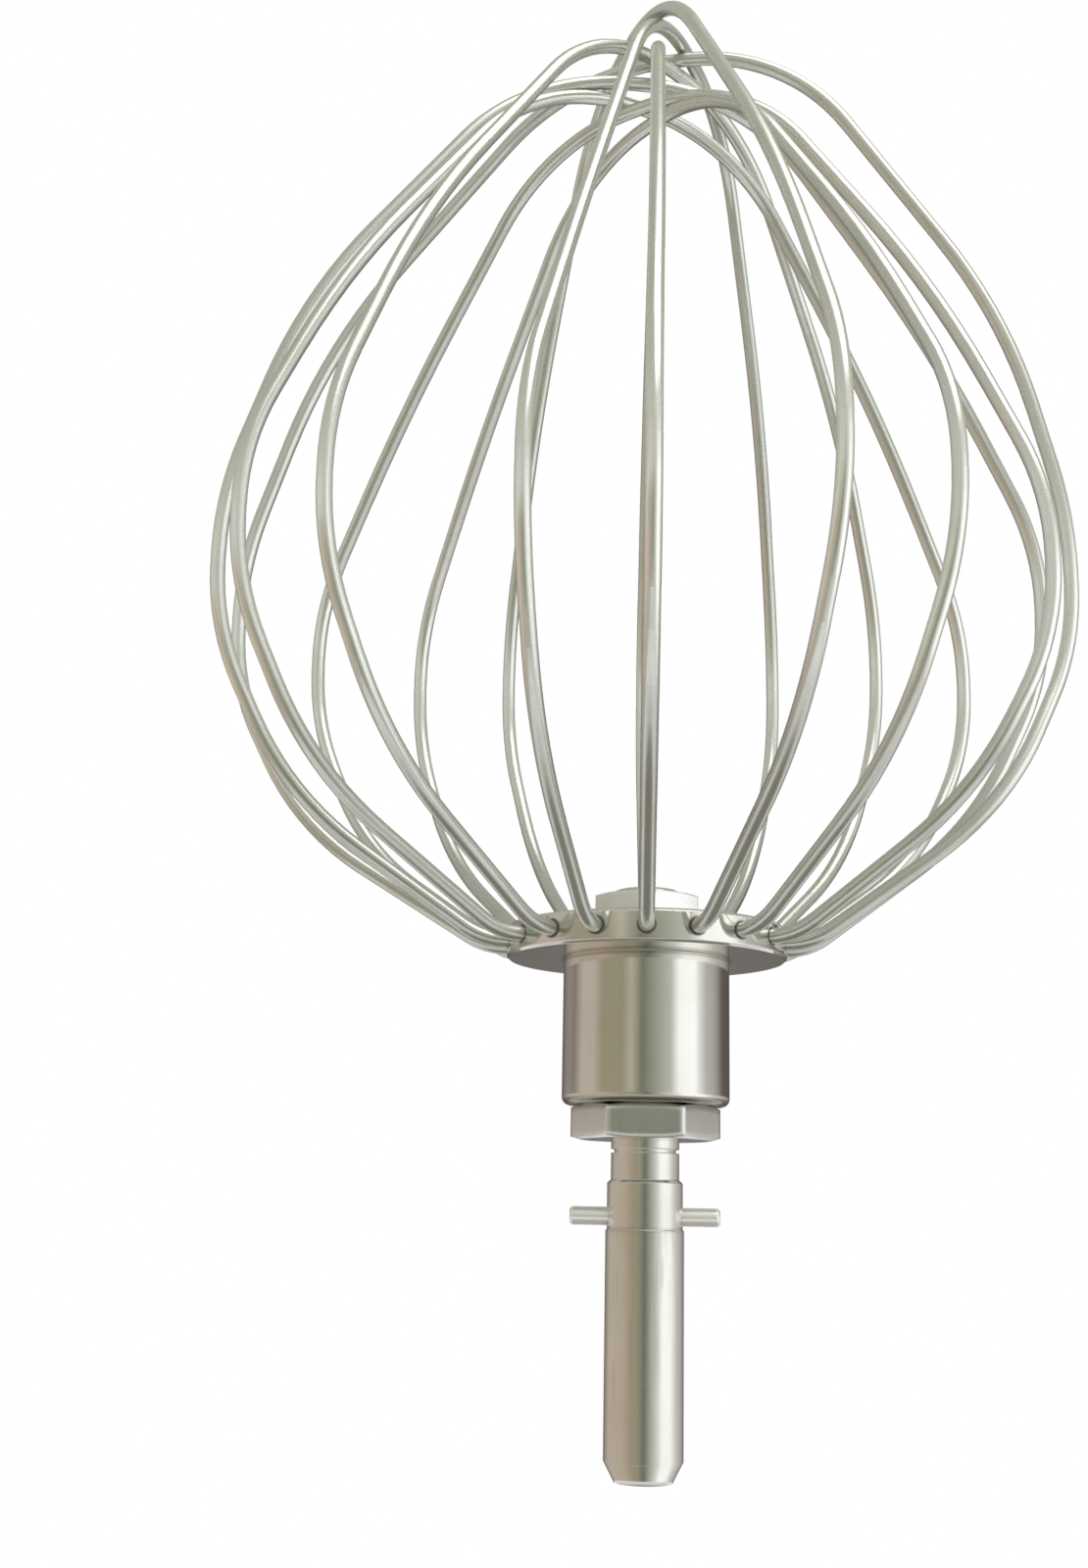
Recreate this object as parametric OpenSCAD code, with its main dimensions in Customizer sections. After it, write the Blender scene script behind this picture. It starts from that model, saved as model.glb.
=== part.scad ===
// Whisk attachment for a stand mixer: a cage of nine bent wire loops in a turned
// flange, on a drive shaft with a cross pin.
// The origin is on the shaft's axis at the top of its seat, just under the cross pin.
// +Z runs along the axis into the cage, and -Y is the front.

/* [Wires] */
// Thickness of each wire
wire_d = 2.4; // [2:0.1:2.4]
// Radius of the cage at its belly
belly_r = 68; // [61:1:74]
// Height of the belly above the wires' holes
belly_z = 58; // [54:1:64]
// Height of the topmost wire loop's crown above the wires' holes
crown_z = 163; // [155:1:175]
// Step down from each loop's crown to the crown of the loop under it
crown_step = 2.6; // [2.6:0.05:2.8]
// Radius of the bend where each wire leaves the flange
knee_bend = 11; // [8:0.5:11]

/* [Hub] */
// Height of the wires' holes above the top of the shaft's seat
wire_z = 43.8; // [43.8:0.2:60]
// Diameter of the flange that holds the wires
flange_d = 44; // [42:0.5:48]
// Thickness of the flange
flange_t = 5; // [4:0.1:5.4]
// Diameter of the sleeve under the flange
sleeve_d = 26; // [22:0.5:28]
// Length of the sleeve under the flange
sleeve_l = 22.6; // [16:0.2:23]
// Radius of the rounded edge at the foot of the sleeve
foot_r = 1.2; // [0.4:0.1:1.6]
// Depth of each wire's hole in the rim of the flange
wire_seat = 6; // [4:0.5:7]

/* [Shaft] */
// Diameter of the shaft at its seat, which the mixer's socket takes
shaft_d = 12; // [12:0.5:14]
// Length of the seat, up from the lead-in at the shaft's free end
seat_l = 33.5; // [25:0.5:50]
// Length of the tapered lead-in at the free end
lead_l = 3; // [1:0.1:4]
// Depth that the lead-in tapers in to
lead_in = 1.6; // [0.5:0.1:2]
// Depth that the shaft is turned down above the seat, round the cross pin
relief = 0.2; // [0.2:0.05:0.3]
// Height of the shoulder where the shaft goes from thick to thin
shoulder_z = 7.4; // [5:0.2:8]
// Diameter of the thinner stem, which goes up through the hub
stem_d = 10.5; // [8:0.5:10.5]
// Length of stem that shows under the lower nut, down to the groove
thread_end = 1.4; // [1:0.1:1.6]
// Width of the groove that the stem's thread ends in
groove_w = 0.6; // [0.4:0.1:0.8]
// Depth of that groove
groove_in = 0.5; // [0.3:0.1:0.6]
// Height of the cross pin
pin_z = 2; // [2:0.1:3]
// Diameter of the cross pin
pin_d = 2.8; // [2:0.1:3.5]
// Length of the cross pin
pin_l = 23; // [18:0.5:26]

/* [Nuts] */
// Size across the flats of the nut under the sleeve
lower_nut_af = 20; // [17:0.5:22]
// Thickness of the nut under the sleeve
lower_nut_t = 5.2; // [4:0.2:5.8]
// Size across the flats of the nut inside the cage
upper_nut_af = 16; // [14:0.5:18]
// Thickness of the nut inside the cage
upper_nut_t = 5; // [4:0.5:8]

/* [Hidden] */

loop_count = 9;
end_count = 2 * loop_count;
end_angle = 360 / end_count;

// Half section of the cage: the corners that each wire is bent round
knee_r = 26;
sweep_r = 55.5;
sweep_z = 21;
belly_half = 11;
side_r = 52;
side_z = 111;
crown_r = 19;
// Part of the crown's shift off the axis that the corner below it takes
side_share = 0.45;
// Part of a run that the bends at its ends may use: of the first and last run, and of
// one with a bend at each end
end_share = 0.9;
mid_share = 0.46;

// No two wires are bent quite alike. In order of their ends round the flange from the
// front: degrees that the belly stands round from its hole, and millimetres that it
// stands out and up, and that the side above it stands out.
belly_turn = [0.5, 1, 1.5, 5, 11, -3, 1, 1, -1, 1, 3.5, 0, -1, -0.5, 4.5, -1, -2, 3];
belly_out = [0, 3, -3, -2, 1, -2, -2, 1, 0, 0, 1, 0, 3, 4, 2, 2, 0, -9];
belly_lift = [0, 2, 3, -4, 3, 0, -6, 2, 0, 0, 2, -1, -1, -1, 0, 2, 1, 1];
side_out = [0, 0, -1, -1, 5, -1, -2, 2, 0, 0, -1, -3, -3, 5, 3, 0, 1, -2];
// Place of each loop in the pile at the crown, from the top, and millimetres that
// its crown stands to the right and to the back.
crown_rank = [4, 0, 8, 7, 2, 5, 6, 3, 1];
crown_side = [1, -4, 0, -1.5, 4.5, -2.5, -2.5, 3.5, 6.5];
crown_back = [2, 5, -3.5, -4.5, 1.5, -3.5, -0.5, 0.5, 4.5];

// Bevel on turned edges and on the corners of the nuts
edge = 0.4;
nut_bevel = 0.4;
// Length of stem that stands out of the upper nut
stem_stand = 1;
// Length that a drill runs on past the face that it opens
drill_over = 1;
steel = [0.78, 0.79, 0.78];
flange_end_z = wire_z - flange_t / 2;
sleeve_end_z = flange_end_z - sleeve_l;
nut_end_z = sleeve_end_z - lower_nut_t;
nut_seat_z = wire_z + flange_t / 2;
stem_end_z = nut_seat_z + upper_nut_t + stem_stand;
groove_end_z = nut_end_z - thread_end;
root_r = flange_d / 2 - wire_seat;
// Straight runs of wire reach this far into the bends, and are this much thinner
plug_l = 0.4;
plug_step = 0.04;
$fn = 48;

// Unit vector along v
function unit(v) = v / norm(v);

// Point at radius r, angle a round from the front, and height z above the wires' holes
function at(r, a, z) = [r * sin(a), -r * cos(a), wire_z + z];

// Corners of one half of a wire loop, from end number e in the flange to the crown
function half_loop(e, shift, top) =
    let (
        a = e * end_angle,
        b = a + belly_turn[e],
        r = belly_r + belly_out[e],
        z = belly_z + belly_lift[e],
        rise = (top - belly_z) / (crown_z - belly_z)
    )
    [
        at(root_r, a, 0),
        at(knee_r, a, 0),
        at(sweep_r * r / belly_r, (a + b) / 2, sweep_z * z / belly_z),
        at(r, b, z - belly_half),
        at(r, b, z + belly_half),
        at(side_r * r / belly_r + side_out[e], b, z + (side_z - z) * rise) + shift * side_share,
        at(crown_r, a, top) + shift
    ];

// Whole path of loop i, from one hole over the crown to the opposite hole
function loop_path(i) =
    let (
        top = crown_z - crown_step * crown_rank[i],
        shift = [crown_side[i], crown_back[i], 0],
        near = half_loop(i, shift, top),
        far = half_loop(i + loop_count, shift, top)
    )
    concat(near, [for (k = [len(far) - 1 : -1 : 0]) far[k]]);

// Straight run of wire from p to q, a hair thinner than the bends that it plugs into
module straight_wire(p, q) {
    v = q - p;
    translate(p)
        rotate([0, acos(v.z / norm(v)), atan2(v.y, v.x)]) rotate(90)
            cylinder(h = norm(v), d = wire_d - plug_step, $fn = 16);
}

// Bend of wire round corner p, from a point a distance t before it, where the wire
// runs along u, to a point the same distance after it, where it runs along v
module wire_bend(p, u, v, t) {
    turn = acos(u * v);
    r = t / tan(turn / 2);
    centre = p + unit(v - u) * r / cos(turn / 2);
    x = unit(p - u * t - centre);
    n = cross(x, u);
    translate(centre)
        rotate([atan2(u.z, n.z), -asin(x.z), atan2(x.y, x.x)])
            rotate_extrude(angle = turn, $fn = 120)
                translate([r, 0])
                    circle(d = wire_d, $fn = 16);
}

// Wire along the runs between the corners, bent as gently as the runs allow
module bent_wire(corners) {
    last = len(corners) - 1;
    runs = [for (k = [0 : last - 1]) corners[k + 1] - corners[k]];
    dirs = [for (v = runs) unit(v)];
    // Share of each run that the bends at its ends may use
    share = [for (k = [0 : last - 1]) norm(runs[k]) * (k == 0 || k == last - 1 ? end_share : mid_share)];
    knee_t = knee_bend * tan(acos(dirs[0] * dirs[1]) / 2);
    reach = [for (k = [1 : last - 1])
        k == 1 || k == last - 1 ? min(knee_t, share[0], share[1]) : min(share[k - 1], share[k])];
    for (k = [1 : last - 1])
        wire_bend(corners[k], dirs[k - 1], dirs[k], reach[k - 1]);
    for (k = [0 : last - 1]) {
        start = k == 0 ? 0 : reach[k - 1] - plug_l;
        end = k == last - 1 ? 0 : reach[k] - plug_l;
        straight_wire(corners[k] + dirs[k] * start, corners[k + 1] - dirs[k] * end);
    }
}

module wire_loop(i) color(steel) bent_wire(loop_path(i));

// Hexagon nut with its corners turned down to a chamfer at both faces
module hex_nut(af, t) {
    corner_r = af / 2 / cos(30);
    difference() {
        intersection() {
            cylinder(h = t, r = corner_r, $fn = 6);
            rotate_extrude()
                polygon([
                    [0, 0], [af / 2, 0], [corner_r, nut_bevel], [corner_r, t - nut_bevel],
                    [af / 2, t], [0, t]
                ]);
        }
        translate([0, 0, -drill_over]) cylinder(h = t + 2 * drill_over, d = stem_d);
    }
}

module lower_nut() color(steel)
    translate([0, 0, nut_end_z]) hex_nut(lower_nut_af, lower_nut_t);

module upper_nut() color(steel)
    translate([0, 0, nut_seat_z]) rotate([0, 0, 30]) hex_nut(upper_nut_af, upper_nut_t);

// Turned hub: a sleeve under a flange whose rim has a radial hole for each wire end
module hub() color(steel) difference() {
    rotate_extrude($fn = 96)
        polygon([
            [stem_d / 2, sleeve_end_z],
            for (a = [0 : 15 : 90])
                [sleeve_d / 2 - foot_r * (1 - sin(a)), sleeve_end_z + foot_r * (1 - cos(a))],
            [sleeve_d / 2, flange_end_z],
            [flange_d / 2 - edge, flange_end_z], [flange_d / 2, flange_end_z + edge],
            [flange_d / 2, nut_seat_z - edge], [flange_d / 2 - edge, nut_seat_z],
            [stem_d / 2, nut_seat_z]
        ]);
    for (e = [0 : end_count - 1])
        translate(at(root_r, e * end_angle, 0))
            rotate([90, 0, e * end_angle])
                cylinder(h = wire_seat + drill_over, d = wire_d);
}

// Stepped shaft: the thick end for the mixer's socket, the thin stem up through the hub
module drive_shaft() color(steel) difference() {
    seat_r = shaft_d / 2;
    collar_r = seat_r - relief;
    stem_r = stem_d / 2;
    groove_r = stem_r - groove_in;
    rotate_extrude($fn = 96)
        polygon([
            [0, -seat_l - lead_l], [seat_r - lead_in, -seat_l - lead_l],
            [seat_r, -seat_l], [seat_r, 0], [collar_r, 0],
            [collar_r, shoulder_z - edge], [collar_r - edge, shoulder_z],
            [stem_r, shoulder_z], [stem_r, groove_end_z - groove_w],
            [groove_r, groove_end_z - groove_w], [groove_r, groove_end_z],
            [stem_r, groove_end_z], [stem_r, stem_end_z - edge],
            [stem_r - edge, stem_end_z], [0, stem_end_z]
        ]);
    translate([-shaft_d, 0, pin_z]) rotate([0, 90, 0]) cylinder(h = 2 * shaft_d, d = pin_d);
}

// Cross pin with bevelled ends, driven through the shaft
module cross_pin() color("white")
    translate([-pin_l / 2, 0, pin_z]) rotate([0, 90, 0])
        rotate_extrude()
            polygon([
                [0, 0], [pin_d / 2 - edge, 0], [pin_d / 2, edge],
                [pin_d / 2, pin_l - edge], [pin_d / 2 - edge, pin_l], [0, pin_l]
            ]);

drive_shaft();
cross_pin();
lower_nut();
hub();
upper_nut();
for (i = [0 : loop_count - 1])
    wire_loop(i);
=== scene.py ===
import math

import bpy
from mathutils import Matrix, Vector


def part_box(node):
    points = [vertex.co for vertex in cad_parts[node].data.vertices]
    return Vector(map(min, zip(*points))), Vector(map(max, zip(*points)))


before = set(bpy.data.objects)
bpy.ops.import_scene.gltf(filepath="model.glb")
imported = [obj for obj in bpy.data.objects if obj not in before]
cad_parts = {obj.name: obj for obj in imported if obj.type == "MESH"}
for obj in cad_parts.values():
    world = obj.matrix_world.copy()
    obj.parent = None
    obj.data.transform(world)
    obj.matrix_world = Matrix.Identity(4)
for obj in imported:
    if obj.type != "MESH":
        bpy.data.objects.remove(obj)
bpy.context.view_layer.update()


# Drive shaft
# Stainless bar turned down in steps: a thick end for the mixer's socket, a short neck, and
# a stem up through the hub. The lathe leaves fine rings, and the socket rubs the seat.

SHAFT_COLOUR = (0.72, 0.715, 0.68)
SEAT_TOP = 0.0
LEAD_IN = 0.003
RUBBED_LENGTH = 0.012
shaft_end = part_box("drive_shaft")[0][2]
seat_end = shaft_end + LEAD_IN


def new_group(name, inputs, outputs):
    """An empty node group with these sockets, and its input and output nodes."""
    group = bpy.data.node_groups.new(name, "ShaderNodeTree")
    for label, kind, value in inputs:
        socket = group.interface.new_socket(label, in_out="INPUT", socket_type=kind)
        socket.default_value = value
    for label, kind in outputs:
        group.interface.new_socket(label, in_out="OUTPUT", socket_type=kind)
    return group, group.nodes.new("NodeGroupInput"), group.nodes.new("NodeGroupOutput")


def add_math(tree, operation, a, b=None, c=None, clamp=False):
    """A Math node fed by sockets or plain numbers. Gives back its output."""
    node = tree.nodes.new("ShaderNodeMath")
    node.operation = operation
    node.use_clamp = clamp
    for socket, value in zip(node.inputs, (a, b, c)):
        if hasattr(value, "links"):
            tree.links.new(value, socket)
        elif value is not None:
            socket.default_value = value
    return node.outputs[0]


def add_product(tree, first, *others):
    """Masks or numbers multiplied together."""
    product = first
    for other in others:
        product = add_math(tree, "MULTIPLY", product, other)
    return product


def add_noise(tree, stretch, detail, roughness=0.5):
    """Noise of this many lumps to a metre along X, Y and Z, about 0.3 to 0.7."""
    place = tree.nodes.new("ShaderNodeTexCoord")
    scaled = tree.nodes.new("ShaderNodeVectorMath")
    scaled.operation = "MULTIPLY"
    scaled.inputs[1].default_value = stretch
    tree.links.new(place.outputs["Object"], scaled.inputs[0])
    noise = tree.nodes.new("ShaderNodeTexNoise")
    noise.inputs["Scale"].default_value = 1.0
    noise.inputs["Detail"].default_value = detail
    noise.inputs["Roughness"].default_value = roughness
    tree.links.new(scaled.outputs[0], noise.inputs["Vector"])
    return noise.outputs["Fac"]


def finish_group(name, add_grain):
    """A finish: grain makes the roughness swing round the polish, and a height for bump."""
    finish, finish_in, finish_out = new_group(
        name,
        [("Polish", "NodeSocketFloat", 0.1), ("Unevenness", "NodeSocketFloat", 0.05)],
        [("Roughness", "NodeSocketFloat"), ("Height", "NodeSocketFloat")],
    )
    grain, height = add_grain(finish)
    swing = add_math(finish, "MULTIPLY", add_math(finish, "SUBTRACT", grain, 0.5), 4.0)
    polish = finish_in.outputs["Polish"]
    unevenness = finish_in.outputs["Unevenness"]
    rough = add_math(finish, "MULTIPLY_ADD", swing, unevenness, polish, clamp=True)
    finish.links.new(rough, finish_out.inputs["Roughness"])
    finish.links.new(height, finish_out.inputs["Height"])
    return finish


def ring_grain(tree):
    """Narrow bands along the axis, fine ones on broad ones."""
    fine = add_product(tree, add_noise(tree, (12, 12, 2600), detail=3), 0.6)
    broad = add_product(tree, add_noise(tree, (8, 8, 260), detail=1), 0.4)
    level = add_math(tree, "ADD", fine, broad)
    return level, level


lathe_rings = finish_group("lathe_rings", ring_grain)


def add_tint(tree, amount, colour, tint):
    """The colour multiplied by a tint, as far as the amount says."""
    node = tree.nodes.new("ShaderNodeMix")
    node.data_type = "RGBA"
    node.blend_type = "MULTIPLY"
    tree.links.new(amount, node.inputs["Factor"])
    tree.links.new(colour, node.inputs["A"])
    node.inputs["B"].default_value = (*tint, 1)
    return node.outputs["Result"]


# Smears: they dull the polish in patches and darken it a little.
smears, smear_in, smear_out = new_group(
    "faint_smears",
    [("Amount", "NodeSocketFloat", 0.5), ("Steel", "NodeSocketColor", (0.7, 0.7, 0.7, 1))],
    [("Color", "NodeSocketColor"), ("Dulling", "NodeSocketFloat")],
)
cloudy = add_noise(smears, (90, 90, 60), detail=4, roughness=0.6)
patch = add_math(smears, "MULTIPLY", add_math(smears, "SUBTRACT", cloudy, 0.48), 5.0, clamp=True)
patch = add_product(smears, patch, smear_in.outputs["Amount"])
smeared = add_tint(smears, patch, smear_in.outputs["Steel"], tint=(0.86, 0.84, 0.8))
smears.links.new(smeared, smear_out.inputs["Color"])
smears.links.new(add_product(smears, patch, 0.12), smear_out.inputs["Dulling"])


def add_group(tree, group, **values):
    """The group placed in a material, with its inputs set."""
    node = tree.nodes.new("ShaderNodeGroup")
    node.node_tree = group
    for label, value in values.items():
        node.inputs[label].default_value = value
    return node


def new_steel(name, colour, finish, polish, unevenness, smear, depth, edge=0.0):
    """Metal with a finish's polish and grain, smears, and edges that look rounded."""
    material = bpy.data.materials.new(name)
    material.use_nodes = True
    tree = material.node_tree
    shader = tree.nodes["Principled BSDF"]
    shader.inputs["Metallic"].default_value = 1.0
    grain = add_group(tree, finish, Polish=polish, Unevenness=unevenness)
    touched = add_group(tree, smears, Amount=smear, Steel=(*colour, 1))
    tree.links.new(touched.outputs["Color"], shader.inputs["Base Color"])
    roughness, dulling = grain.outputs["Roughness"], touched.outputs["Dulling"]
    rough = add_math(tree, "ADD", roughness, dulling, clamp=True)
    tree.links.new(rough, shader.inputs["Roughness"])
    bump = tree.nodes.new("ShaderNodeBump")
    bump.inputs["Strength"].default_value = 1.0
    bump.inputs["Distance"].default_value = depth
    tree.links.new(grain.outputs["Height"], bump.inputs["Height"])
    if edge:
        soft_edge = tree.nodes.new("ShaderNodeBevel")
        soft_edge.samples = 12
        soft_edge.inputs["Radius"].default_value = edge
        tree.links.new(soft_edge.outputs["Normal"], bump.inputs["Normal"])
    tree.links.new(bump.outputs["Normal"], shader.inputs["Normal"])
    return material


def add_place(tree):
    """X, Y and Z of a point, in metres."""
    place = tree.nodes.new("ShaderNodeTexCoord")
    split = tree.nodes.new("ShaderNodeSeparateXYZ")
    tree.links.new(place.outputs["Object"], split.inputs["Vector"])
    return split.outputs["X"], split.outputs["Y"], split.outputs["Z"]


def add_ease(tree, value, start, end):
    """A smooth step of a value: 0 at the start, 1 at the end."""
    node = tree.nodes.new("ShaderNodeMapRange")
    node.interpolation_type = "SMOOTHSTEP"
    node.inputs["From Min"].default_value = start
    node.inputs["From Max"].default_value = end
    tree.links.new(value, node.inputs["Value"])
    return node.outputs["Result"]


# Socket rub: scratches that run along the seat, fewer and fewer towards its free end.
rub, rub_in, rub_out = new_group(
    "socket_rub",
    [("Amount", "NodeSocketFloat", 0.5)],
    [("Scratches", "NodeSocketFloat")],
)
height = add_place(rub)[2]
strokes = add_ease(rub, add_noise(rub, (1500, 1500, 70), detail=2), 0.56, 0.66)
from_end = add_ease(rub, height, shaft_end + 0.0005, SEAT_TOP - RUBBED_LENGTH)
below_top = add_ease(rub, height, SEAT_TOP + 0.001, SEAT_TOP - 0.001)
scratches = add_product(rub, strokes, from_end, below_top, rub_in.outputs["Amount"])
rub.links.new(scratches, rub_out.inputs["Scratches"])


def add_wear_and_shade(material, amount, tint, dulling=0.0):
    """Tints and dulls a steel as far as the amount, a mask in its own tree, says, for wear and
    painted shade alike.
    """
    tree = material.node_tree
    shader = tree.nodes["Principled BSDF"]
    colour = shader.inputs["Base Color"].links[0].from_socket
    rough = shader.inputs["Roughness"].links[0].from_socket
    tree.links.new(add_tint(tree, amount, colour, tint), shader.inputs["Base Color"])
    if dulling:
        worn_rough = add_math(tree, "MULTIPLY_ADD", amount, dulling, rough, clamp=True)
        tree.links.new(worn_rough, shader.inputs["Roughness"])


shaft_steel = new_steel(
    "turned_shaft_steel", SHAFT_COLOUR, lathe_rings,
    polish=0.12, unevenness=0.06, smear=0.5, depth=4e-6, edge=2e-4,
)
tree = shaft_steel.node_tree
height = add_place(tree)[2]
rubbed = add_group(tree, rub, Amount=0.6)
add_wear_and_shade(shaft_steel, rubbed.outputs["Scratches"], tint=(0.82, 0.82, 0.8), dulling=0.2)


def add_facing_up(tree):
    """How far a surface faces up: 1 for a top, 0 for a side, -1 for an underside."""
    geometry = tree.nodes.new("ShaderNodeNewGeometry")
    split = tree.nodes.new("ShaderNodeSeparateXYZ")
    tree.links.new(geometry.outputs["True Normal"], split.inputs["Vector"])
    return split.outputs["Z"]


# Painted shade darkens and dulls the small step at the top of the seat, most of all where it faces
# up, dimming the highlight its edge would catch.
STEP_SHADE_FULL, STEP_SHADE_ENDS = 0.0002, 0.0006
from_below = add_ease(tree, height, SEAT_TOP - STEP_SHADE_ENDS, SEAT_TOP - STEP_SHADE_FULL)
from_above = add_ease(tree, height, SEAT_TOP + STEP_SHADE_ENDS, SEAT_TOP + STEP_SHADE_FULL)
faces_up = add_ease(tree, add_facing_up(tree), 0.3, 0.7)
step_shade = add_product(tree, from_below, from_above, add_math(tree, "MULTIPLY_ADD", faces_up, 0.5, 0.5))
add_wear_and_shade(shaft_steel, step_shade, tint=(0.76, 0.74, 0.7), dulling=0.1)

# The lead-in at the free end is polished together with the seat, which rounds it over, so
# that the shine runs on into it: its shading is turned up towards the seat's.
TURNED_UP = 0.52
below_seat = add_ease(tree, height, seat_end + 0.0001, seat_end - 0.0001)
before_end = add_ease(tree, height, shaft_end - 0.0007, shaft_end + 0.0013)
upwards = tree.nodes.new("ShaderNodeCombineXYZ")
tree.links.new(add_product(tree, below_seat, before_end, TURNED_UP), upwards.inputs["Z"])
turned = tree.nodes.new("ShaderNodeVectorMath")
turned.operation = "ADD"
one_long = tree.nodes.new("ShaderNodeVectorMath")
one_long.operation = "NORMALIZE"
bump = tree.nodes["Bump"]
tree.links.new(tree.nodes["Bevel"].outputs["Normal"], turned.inputs[0])
tree.links.new(upwards.outputs["Vector"], turned.inputs[1])
tree.links.new(turned.outputs[0], one_long.inputs[0])
tree.links.new(one_long.outputs[0], bump.inputs["Normal"])


def dress(node, material):
    """Puts a material on all of a CAD node."""
    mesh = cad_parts[node].data
    mesh.materials.clear()
    mesh.materials.append(material)


dress("drive_shaft", shaft_steel)


# Cross pin
# A short pin of harder steel, pressed through the shaft, which turns the whisk by the slot
# in the mixer's socket. Its ground surface scatters light, so it is the palest piece.

PIN_COLOUR = (0.97, 0.96, 0.92)
PIN_METALLIC = 0.7

pin_steel = new_steel(
    "ground_pin_steel", PIN_COLOUR, lathe_rings,
    polish=0.33, unevenness=0.04, smear=0.15, depth=3e-6, edge=5e-4,
)
pin_steel.node_tree.nodes["Principled BSDF"].inputs["Metallic"].default_value = PIN_METALLIC
dress("cross_pin", pin_steel)


# Nuts
# Two hexagon nuts that clamp the hub between them on the stem, cut from hexagon bar. Their
# flats keep the bar's drawn finish, and the lower one's edges are rounder.

NUT_COLOUR = (0.8, 0.81, 0.79)
NUT_EDGES = {"lower_nut": 1.3e-3, "upper_nut": 4e-4}


def flat_grain(tree):
    """Streaks along the bar."""
    streaks = add_noise(tree, (900, 900, 90), detail=3)
    return streaks, streaks


bar_flats = finish_group("bar_flats", flat_grain)
for nut, nut_edge in NUT_EDGES.items():
    nut_steel = new_steel(
        nut + "_steel", NUT_COLOUR, bar_flats,
        polish=0.18, unevenness=0.03, smear=0.4, depth=1.2e-6, edge=nut_edge,
    )
    dress(nut, nut_steel)


# Hub
# A stainless sleeve and flange, turned in one piece and polished. The flange's rim is
# drilled all round for the wire ends, and a ring of painted shade darkens round each of them.

HUB_COLOUR = (0.74, 0.735, 0.7)
SLEEVE_R = 0.013
FLANGE = 0.005
FOOT = 0.002
CORNER = 0.0003
WIRE_HOLES = 18
HOLE_SHADE_R = 0.0017
hub_low, hub_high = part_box("hub")
flange_r = hub_high[0]
underside = hub_high[2] - FLANGE


def add_turn(tree):
    """The angle round the axis, 0 at the front and growing towards the right."""
    x, y = add_place(tree)[:2]
    return add_math(tree, "ARCTAN2", x, add_math(tree, "MULTIPLY", y, -1.0))


def add_reach(tree, across, along):
    """How far away a point is that lies this far across and along."""
    along_squared = add_math(tree, "MULTIPLY", along, along)
    squares = add_math(tree, "MULTIPLY_ADD", across, across, along_squared)
    return add_math(tree, "SQRT", squares)


# Painted shade at the wire holes: a dark ring round each, where the wire goes in.
hole_shade_rings, ring_in, ring_out = new_group(
    "wire_hole_shade_rings",
    [("Ring", "NodeSocketFloat", HOLE_SHADE_R)],
    [("Dark", "NodeSocketFloat")],
)
half_gap = math.pi / WIRE_HOLES
from_hole = add_math(hole_shade_rings, "WRAP", add_turn(hole_shade_rings), half_gap, -half_gap)
beside = add_math(hole_shade_rings, "MULTIPLY", from_hole, flange_r)
above = add_math(hole_shade_rings, "SUBTRACT", add_place(hole_shade_rings)[2], hub_high[2] - FLANGE / 2)
hole_reach = add_reach(hole_shade_rings, beside, above)
rings_away = add_math(hole_shade_rings, "DIVIDE", hole_reach, ring_in.outputs["Ring"])
hole_shade_rings.links.new(add_ease(hole_shade_rings, rings_away, 1.0, 0.75), ring_out.inputs["Dark"])

hub_steel = new_steel(
    "polished_hub_steel", HUB_COLOUR, lathe_rings,
    polish=0.07, unevenness=0.035, smear=0.35, depth=2.5e-6, edge=3e-4,
)
tree = hub_steel.node_tree
x, y, z = add_place(tree)
# Painted shade round each wire hole.
hole_shade_node = add_group(tree, hole_shade_rings, Ring=HOLE_SHADE_R)
add_wear_and_shade(hub_steel, hole_shade_node.outputs["Dark"], tint=(0.3, 0.27, 0.23), dulling=0.3)

# Painted shade: where the sleeve's foot faces down it is tinted dark, as if it mirrored something
# dark below, and it is made duller.
faces_down = add_ease(tree, add_facing_up(tree), -0.12, -0.5)
near_foot = add_ease(tree, z, hub_low[2] + FOOT + 0.001, hub_low[2] + FOOT)
underside_shade = add_product(tree, faces_down, near_foot)
add_wear_and_shade(hub_steel, underside_shade, tint=(0.4, 0.38, 0.33), dulling=0.12)

# Painted shade darkens and dulls the corner between sleeve and flange.
from_axis = add_reach(tree, x, y)
near_flange = add_ease(tree, z, underside - CORNER - 0.0005, underside - CORNER)
near_sleeve = add_ease(tree, from_axis, SLEEVE_R + CORNER + 0.0006, SLEEVE_R + CORNER)
corner_shade = add_product(tree, near_flange, near_sleeve)
add_wear_and_shade(hub_steel, corner_shade, tint=(0.66, 0.64, 0.6), dulling=0.1)
dress("hub", hub_steel)


# Wire loops
# Nine loops of polished stainless wire, bent to a balloon and fixed in the flange by
# both ends. Bending leaves small ripples, and washing dulls the wire in patches.

WIRE_COLOUR = (0.89, 0.9, 0.86)
# Heights where the bright belly of the cage ends, and where the greyer wire is reached
BELLY_TOP, CROWN_FOOT = 0.104, 0.13
BELLY_FOOT, ROOT_TOP = 0.084, 0.062


def wire_grain(tree):
    """Fine specks in the polish, on a surface with long low ripples."""
    ripples = add_noise(tree, (110, 110, 110), detail=1)
    specks = add_noise(tree, (900, 900, 900), detail=2)
    return specks, ripples


drawn_wire = finish_group("drawn_wire", wire_grain)
wire_steel = new_steel(
    "polished_wire_steel", WIRE_COLOUR, drawn_wire,
    polish=0.26, unevenness=0.02, smear=0.5, depth=1.5e-5,
)

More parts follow.
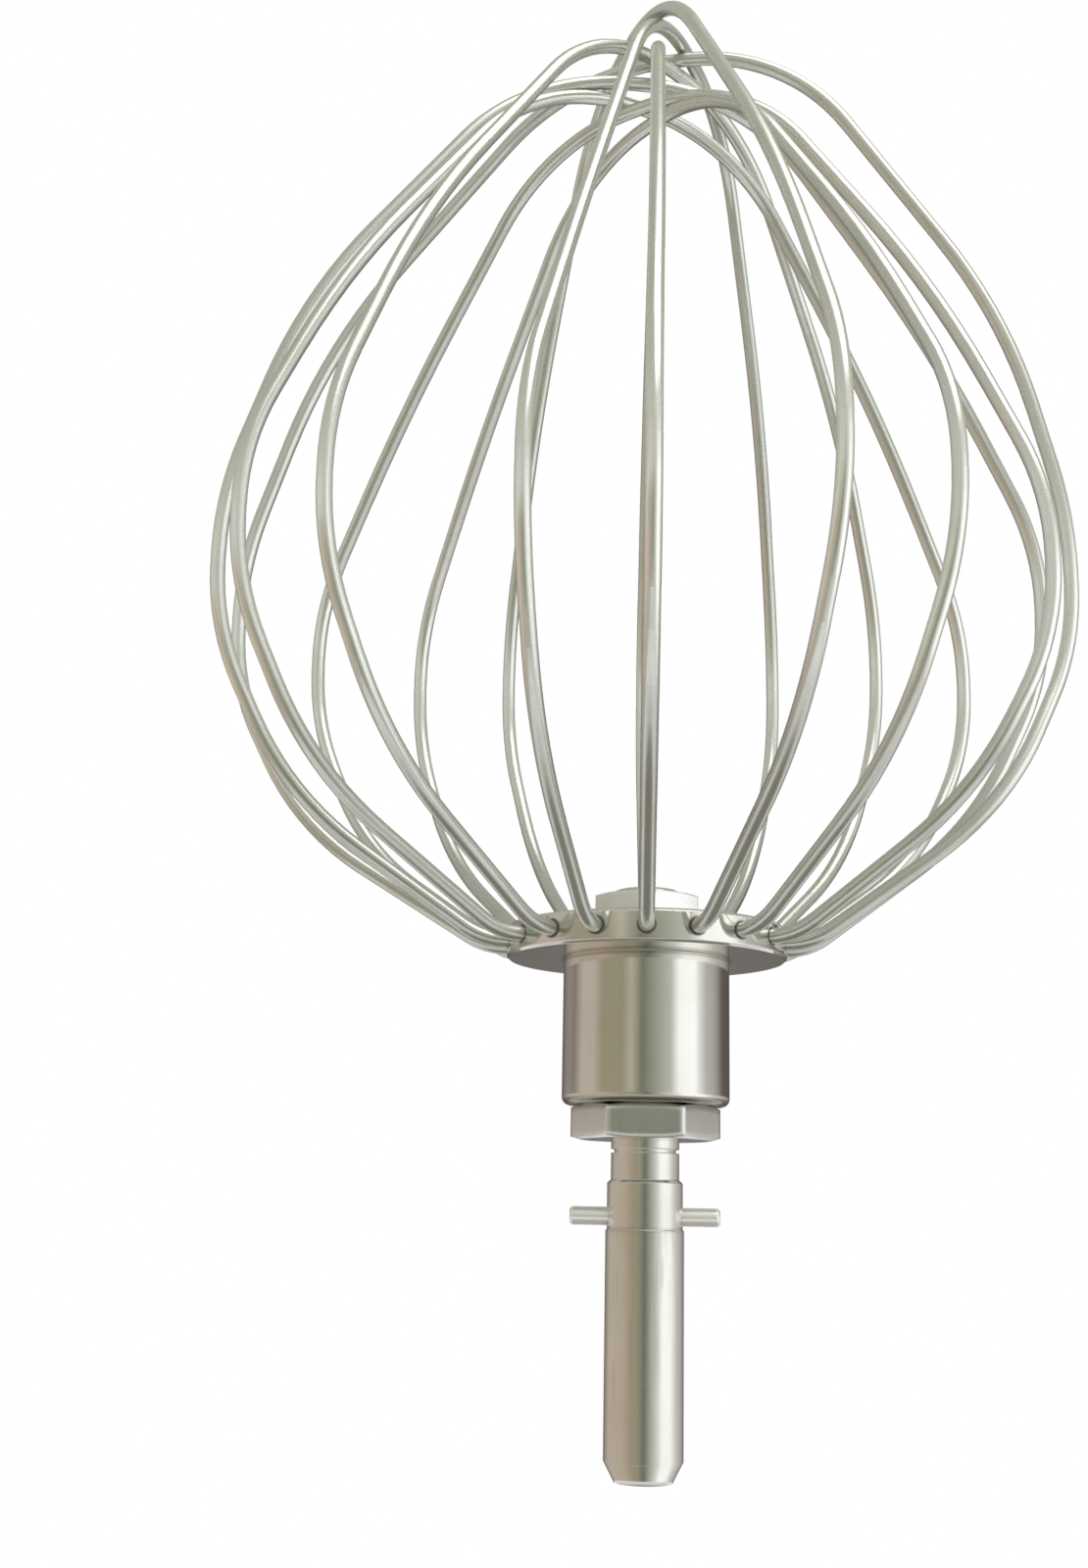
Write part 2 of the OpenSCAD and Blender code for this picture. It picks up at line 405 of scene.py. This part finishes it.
# The wire is tinted greyer above the belly, towards the crown. Below it, painted shade darkens the
# wire towards its roots in the flange.
tree = wire_steel.node_tree
height = add_place(tree)[2]
add_wear_and_shade(wire_steel, add_ease(tree, height, BELLY_TOP, CROWN_FOOT), tint=(0.82, 0.83, 0.81))
add_wear_and_shade(wire_steel, add_ease(tree, height, BELLY_FOOT, ROOT_TOP), tint=(0.7, 0.71, 0.69))

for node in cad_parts:
    if node.startswith("wire_loop_"):
        dress(node, wire_steel)


# Floor
# A round pale floor under the part. To the eye it fades to white before its edge, so that
# it has no horizon, and it is clear from below, so that the part can be seen from there.

FLOOR_Z = -0.16
FLOOR_R = 0.45
FLOOR_COLOUR = (0.86, 0.86, 0.85)
FADE_START, FADE_END = 0.2, 0.42
SIDES = 96


def circle(radius, height):
    """Points round the axis, from the front towards the right."""
    turns = [2 * math.pi * side / SIDES for side in range(SIDES)]
    return [(radius * math.sin(turn), -radius * math.cos(turn), height) for turn in turns]


def add_object(name, points, faces, material):
    """A mesh object in one material, linked to the scene."""
    mesh = bpy.data.meshes.new(name)
    mesh.from_pydata(points, [], faces)
    mesh.materials.append(material)
    added = bpy.data.objects.new(name, mesh)
    bpy.context.scene.collection.objects.link(added)
    return added


def seen_rays(tree):
    """1 for rays from the camera, or from it by way of metal or glass."""
    path = tree.nodes.new("ShaderNodeLightPath")
    seen = add_math(tree, "MAXIMUM", path.outputs["Is Camera Ray"], path.outputs["Is Glossy Ray"])
    return add_math(tree, "MAXIMUM", seen, path.outputs["Is Transmission Ray"])


floor_paint = bpy.data.materials.new("pale_floor")
floor_paint.use_nodes = True
tree = floor_paint.node_tree
shader = tree.nodes["Principled BSDF"]
shader.inputs["Base Color"].default_value = (*FLOOR_COLOUR, 1)
shader.inputs["Roughness"].default_value = 0.9
shader.inputs["Specular IOR Level"].default_value = 0.0
white = tree.nodes.new("ShaderNodeEmission")
white.inputs["Color"].default_value = (1, 1, 1, 1)
x, y = add_place(tree)[:2]
fade = add_ease(tree, add_reach(tree, x, y), FADE_START, FADE_END)
faded = tree.nodes.new("ShaderNodeMixShader")
tree.links.new(add_product(tree, fade, seen_rays(tree)), faded.inputs["Fac"])
tree.links.new(shader.outputs["BSDF"], faded.inputs[1])
tree.links.new(white.outputs["Emission"], faded.inputs[2])
clear = tree.nodes.new("ShaderNodeBsdfTransparent")
geometry = tree.nodes.new("ShaderNodeNewGeometry")
one_sided = tree.nodes.new("ShaderNodeMixShader")
tree.links.new(geometry.outputs["Backfacing"], one_sided.inputs["Fac"])
tree.links.new(faded.outputs["Shader"], one_sided.inputs[1])
tree.links.new(clear.outputs["BSDF"], one_sided.inputs[2])
tree.links.new(one_sided.outputs["Shader"], tree.nodes["Material Output"].inputs["Surface"])

floor = add_object("floor", circle(FLOOR_R, FLOOR_Z), [range(SIDES)], floor_paint)


# Studio cards
# Light and dark cards in a ring round the part, out of view, for polished steel to mirror.
# Grey cloth hangs over them, and a dark sheet lies on the floor under the part.

CARD_R = 1.5
CARD_LOW, CARD_HIGH = -1.3, 1.9
SHEET_R = 0.16
SHEET_LIFT = 0.002
GREY_CLOTH = (0.5, 0.5, 0.44)
DARK_SHEET = (0.28, 0.26, 0.22)
DIM_FLOOR = (0.36, 0.34, 0.3)
# Heights between which each ring of cards gives way to what is above or below it
LOW_TO_MIDDLE = (0.08, 0.12)
MIDDLE_TO_HIGH = (0.26, 0.36)
HIGH_TO_CLOTH = (0.5, 0.9)
LOW_TO_FLOOR = (-0.4, -0.7)
# Degrees round from behind the camera towards the right, and the card's colour there
CARDS = [
    (-180, (0.2, 0.19, 0.18)),
    (-166, (0.1, 0.09, 0.08)),
    (-148, (0.25, 0.22, 0.2)),
    (-132, (0.34, 0.3, 0.27)),
    (-115, (0.28, 0.25, 0.22)),
    (-97, (0.6, 0.52, 0.45)),
    (-76, (0.6, 0.52, 0.44)),
    (-62, (0.4, 0.35, 0.25)),
    (-32, (0.38, 0.35, 0.25)),
    (-20, (0.56, 0.53, 0.4)),
    (-5, (0.22, 0.22, 0.17)),
    (8, (0.35, 0.37, 0.28)),
    (34, (0.6, 0.62, 0.55)),
    (46, (1.25, 1.27, 1.25)),
    (70, (1.3, 1.32, 1.3)),
    (80, (0.85, 0.85, 0.84)),
    (90, (0.58, 0.57, 0.55)),
    (106, (0.5, 0.47, 0.45)),
    (118, (0.32, 0.29, 0.27)),
    (128, (0.15, 0.13, 0.12)),
    (160, (0.1, 0.09, 0.08)),
    (180, (0.2, 0.19, 0.18)),
]
# The same for the lower cards, which the shaft mirrors
LOW_CARDS = [
    (-180, (0.2, 0.19, 0.18)),
    (-164, (0.12, 0.11, 0.1)),
    (-140, (0.4, 0.35, 0.3)),
    (-120, (0.6, 0.53, 0.46)),
    (-65, (0.6, 0.5, 0.4)),
    (-35, (0.42, 0.37, 0.27)),
    (-18, (0.38, 0.36, 0.26)),
    (1, (0.19, 0.2, 0.17)),
    (9, (0.3, 0.31, 0.27)),
    (20, (0.5, 0.52, 0.46)),
    (40, (0.85, 0.88, 0.84)),
    (55, (1.3, 1.32, 1.3)),
    (80, (1.3, 1.32, 1.3)),
    (105, (0.75, 0.74, 0.72)),
    (135, (0.5, 0.46, 0.43)),
    (150, (0.3, 0.27, 0.25)),
    (166, (0.12, 0.11, 0.1)),
    (180, (0.2, 0.19, 0.18)),
]
# And for the upper cards, which the wires mirror
HIGH_CARDS = [
    (-180, (0.2, 0.2, 0.19)),
    (-150, (0.14, 0.14, 0.13)),
    (-110, (0.5, 0.49, 0.46)),
    (-65, (0.74, 0.74, 0.7)),
    (-20, (0.72, 0.73, 0.68)),
    (5, (0.52, 0.53, 0.48)),
    (35, (0.8, 0.82, 0.8)),
    (48, (1.3, 1.32, 1.3)),
    (80, (1.3, 1.32, 1.3)),
    (100, (0.66, 0.65, 0.64)),
    (150, (0.14, 0.14, 0.13)),
    (180, (0.2, 0.2, 0.19)),
]


def add_card(name, points, faces, material):
    """A card that only metal sees."""
    card = add_object(name, points, faces, material)
    card.visible_camera = False
    card.visible_diffuse = False
    card.visible_shadow = False


def card_paint(name, colour):
    """A material that only glows, in one colour unless its tree says otherwise."""
    material = bpy.data.materials.new(name)
    material.use_nodes = True
    tree = material.node_tree
    tree.nodes.remove(tree.nodes["Principled BSDF"])
    glow = tree.nodes.new("ShaderNodeEmission")
    glow.inputs["Color"].default_value = (*colour, 1)
    tree.links.new(glow.outputs["Emission"], tree.nodes["Material Output"].inputs["Surface"])
    material.cycles.emission_sampling = "NONE"
    return material


def add_ramp(tree, turn, cards):
    """The cards' colours, at a turn from -180 to 180 degrees that is given as 0 to 1."""
    ramp = tree.nodes.new("ShaderNodeValToRGB")
    tree.links.new(turn, ramp.inputs["Fac"])
    stops = ramp.color_ramp.elements
    while len(stops) > 1:
        stops.remove(stops[-1])
    for index, (degrees, colour) in enumerate(cards):
        position = (degrees + 180) / 360
        stop = stops[0] if index == 0 else stops.new(position)
        stop.position = position
        stop.color = (*colour, 1)
    return ramp.outputs["Color"]


def add_blend(tree, amount, first, second):
    """The first colour where the amount is 0, and the second where it is 1."""
    node = tree.nodes.new("ShaderNodeMix")
    node.data_type = "RGBA"
    tree.links.new(amount, node.inputs["Factor"])
    tree.links.new(first, node.inputs["A"])
    if hasattr(second, "links"):
        tree.links.new(second, node.inputs["B"])
    else:
        node.inputs["B"].default_value = (*second, 1)
    return node.outputs["Result"]


ring_paint = card_paint("card_colours", GREY_CLOTH)
tree = ring_paint.node_tree
height = add_place(tree)[2]
turn = add_math(tree, "ADD", add_math(tree, "DIVIDE", add_turn(tree), 2 * math.pi), 0.5)
low, middle, high = [add_ramp(tree, turn, cards) for cards in (LOW_CARDS, CARDS, HIGH_CARDS)]
colour = add_blend(tree, add_ease(tree, height, *LOW_TO_MIDDLE), low, middle)
colour = add_blend(tree, add_ease(tree, height, *MIDDLE_TO_HIGH), colour, high)
colour = add_blend(tree, add_ease(tree, height, *HIGH_TO_CLOTH), colour, GREY_CLOTH)
colour = add_blend(tree, add_ease(tree, height, *LOW_TO_FLOOR), colour, DIM_FLOOR)
tree.links.new(colour, tree.nodes["Emission"].inputs["Color"])

foot = circle(CARD_R, CARD_LOW)
head = circle(CARD_R, CARD_HIGH)
sheet = circle(SHEET_R, FLOOR_Z + SHEET_LIFT)
panels = []
for side in range(SIDES):
    beyond = (side + 1) % SIDES
    panels.append((side, beyond, SIDES + beyond, SIDES + side))
add_card("studio_cards", foot + head, panels, ring_paint)
add_card("cloth_above", head, [range(SIDES)], card_paint("grey_cloth", GREY_CLOTH))
add_card("sheet_below", sheet, [range(SIDES)], card_paint("dark_sheet", DARK_SHEET))


# Light
# The world is white to the eye and a plain grey-white as light, and one wide soft lamp
# is above on the right, in front of the part.

WORLD_LIGHT = (0.7, 0.7, 0.7)
LAMP_AT = Vector((0.35, -0.35, 1.0))
LAMP_AIM = Vector((0, 0, 0.05))
LAMP_SIZE = 0.9
LAMP_WATTS = 4.5

world = bpy.data.worlds.new("studio")
bpy.context.scene.world = world
world.use_nodes = True
tree = world.node_tree
background = tree.nodes["Background"]
background.inputs["Strength"].default_value = 1.0
room = tree.nodes.new("ShaderNodeMix")
room.data_type = "RGBA"
room.inputs["A"].default_value = (*WORLD_LIGHT, 1)
room.inputs["B"].default_value = (1, 1, 1, 1)
tree.links.new(seen_rays(tree), room.inputs["Factor"])
tree.links.new(room.outputs["Result"], background.inputs["Color"])

lamp_data = bpy.data.lights.new("soft_light", "AREA")
lamp_data.shape = "RECTANGLE"
lamp_data.size = LAMP_SIZE
lamp_data.size_y = LAMP_SIZE
lamp_data.energy = LAMP_WATTS
lamp = bpy.data.objects.new("soft_light", lamp_data)
lamp.location = LAMP_AT
lamp.rotation_euler = (LAMP_AIM - LAMP_AT).to_track_quat("-Z", "Y").to_euler()
bpy.context.scene.collection.objects.link(lamp)


# Camera
# It stands in front of the shaft, level with the top of the seat, and looks up into the
# cage, turned a little to the left so that the part is right of the middle.

CAMERA_AT = Vector((0, -0.300, 0.0007))
PITCH, YAW, ROLL = math.radians(12.95), math.radians(-3.18), math.radians(1.08)
SENSOR = 36
PICTURE_HEIGHT = 1600
FOCAL_LENGTH = 1950  # in the picture's own pixels

forward = Vector((math.sin(YAW) * math.cos(PITCH), math.cos(YAW) * math.cos(PITCH), math.sin(PITCH)))
level_right = Vector((math.cos(YAW), -math.sin(YAW), 0))
level_up = level_right.cross(forward)
right = math.cos(ROLL) * level_right + math.sin(ROLL) * level_up
up = math.cos(ROLL) * level_up - math.sin(ROLL) * level_right

camera_data = bpy.data.cameras.new("camera")
camera_data.sensor_width = SENSOR
camera_data.lens = FOCAL_LENGTH / PICTURE_HEIGHT * SENSOR
camera_data.clip_start = 0.01
camera_data.clip_end = 50
camera = bpy.data.objects.new("camera", camera_data)
camera_axes = Matrix((right, up, -forward)).transposed().to_4x4()
camera.matrix_world = Matrix.Translation(CAMERA_AT) @ camera_axes
bpy.context.scene.collection.objects.link(camera)
bpy.context.scene.camera = camera
bpy.context.scene.view_settings.view_transform = "Standard"
